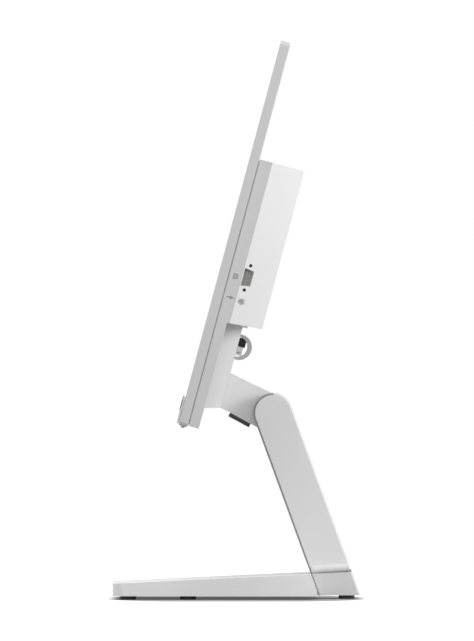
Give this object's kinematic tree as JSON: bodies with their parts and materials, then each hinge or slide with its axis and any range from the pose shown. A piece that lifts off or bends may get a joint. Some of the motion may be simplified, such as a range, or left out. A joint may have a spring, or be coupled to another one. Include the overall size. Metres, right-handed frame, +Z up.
{
  "type": "all-in-one desktop computer",
  "caption": "White all-in-one desktop computer: a thin display with the computer in its rear housing, tilting on a leaning arm above a flat wedge base.",
  "frame": {"origin": "on the ground, under the middle of the whole part's footprint box", "axes": "+Z up, the screen faces -Y, +X to the right of someone looking at the screen"},
  "size_m": [0.614, 0.25, 0.56],
  "materials": {
    "white_plastic": "moulded, fine satin texture",
    "grey_plastic": "moulded, satin",
    "pale_plastic": "moulded, satin",
    "button_plastic": "moulded, semi-gloss",
    "black_plastic": "moulded, matt",
    "screen_glass": "anti-glare",
    "dark_window": "polished",
    "panel_module": "film and plastic",
    "sheet_steel": "zinc plated",
    "fastener_steel": "nickel plated",
    "port_metal": "tin plated shells",
    "circuit_board": "solder mask",
    "copper": "bare copper",
    "aluminium": "plain",
    "brass": "turned",
    "film": "polyimide film",
    "rubber": "matt"
  },
  "bodies": {
    "stand": {"hinge_shaft": "fastener_steel", "hinge_washers": "fastener_steel", "hinge_nuts": "fastener_steel", "arm_strut": "sheet_steel", "arm_shell": "white_plastic", "arm_front_cover": "grey_plastic", "heel_block": "grey_plastic", "base_shell": "white_plastic", "base_plate": "sheet_steel", "base_feet": "rubber", "base_screws": "fastener_steel"},
    "display": {"front_frame": "white_plastic", "back_panel": "white_plastic", "rear_cover": "white_plastic", "webcam_housing": "white_plastic", "neck_shell": "white_plastic", "lock_plate": "white_plastic", "cable_loop": "grey_plastic", "dc_jack": "pale_plastic", "lock_block": "black_plastic", "board_connectors": "black_plastic", "fan_housing": "black_plastic", "speaker_left": "black_plastic", "speaker_right": "black_plastic", "screen_glass": "screen_glass", "webcam_window": "dark_window", "lcd_module": "panel_module", "webcam_camera": "panel_module", "chassis_plate": "sheet_steel", "board_tray": "sheet_steel", "stand_socket": "sheet_steel", "neck_bracket": "sheet_steel", "drive_caddy": "sheet_steel", "cover_screws": "fastener_steel", "socket_screws": "fastener_steel", "serial_port": "port_metal", "lan_port": "port_metal", "hdmi_port": "port_metal", "usb_ports": "port_metal", "coin_cell": "port_metal", "mainboard": "circuit_board", "panel_driver_board": "circuit_board", "power_switch_board": "circuit_board", "side_io_board": "circuit_board", "memory_modules": "circuit_board", "ssd_card": "circuit_board", "wifi_card": "circuit_board", "processor": "circuit_board", "cold_plate": "copper", "heat_pipe": "copper", "cooling_fins": "aluminium", "hard_drive": "aluminium", "board_standoffs": "brass", "antennas": "film", "display_cable": "film", "webcam_gasket": "rubber"},
    "fan_impeller": {"fan_impeller": "black_plastic"},
    "power_button": {"power_button": "button_plastic"},
    "release_latch": {"release_latch": "black_plastic"}
  },
  "joints": [
    {"name": "stand_tilt", "type": "hinge", "parent": "stand", "child": "display", "pos_m": [0, 0.03675, 0.1877], "axis": [1, 0, 0], "range_deg": [-5, 20]},
    {"name": "fan_spin", "type": "hinge", "parent": "display", "child": "fan_impeller", "pos_m": [0.01, 0.03671, 0.35832], "axis": [0, 0.9659, -0.2588], "continuous": true},
    {"name": "power_press", "type": "slide", "parent": "display", "child": "power_button", "axis": [0, 0.2588, 0.9659], "range_m": [0, 0.0008], "stiffness_N_per_m": 1500},
    {"name": "latch_press", "type": "slide", "parent": "display", "child": "release_latch", "axis": [0, 0.4756, 0.8796], "range_m": [0, 0.003], "stiffness_N_per_m": 800}
  ]
}
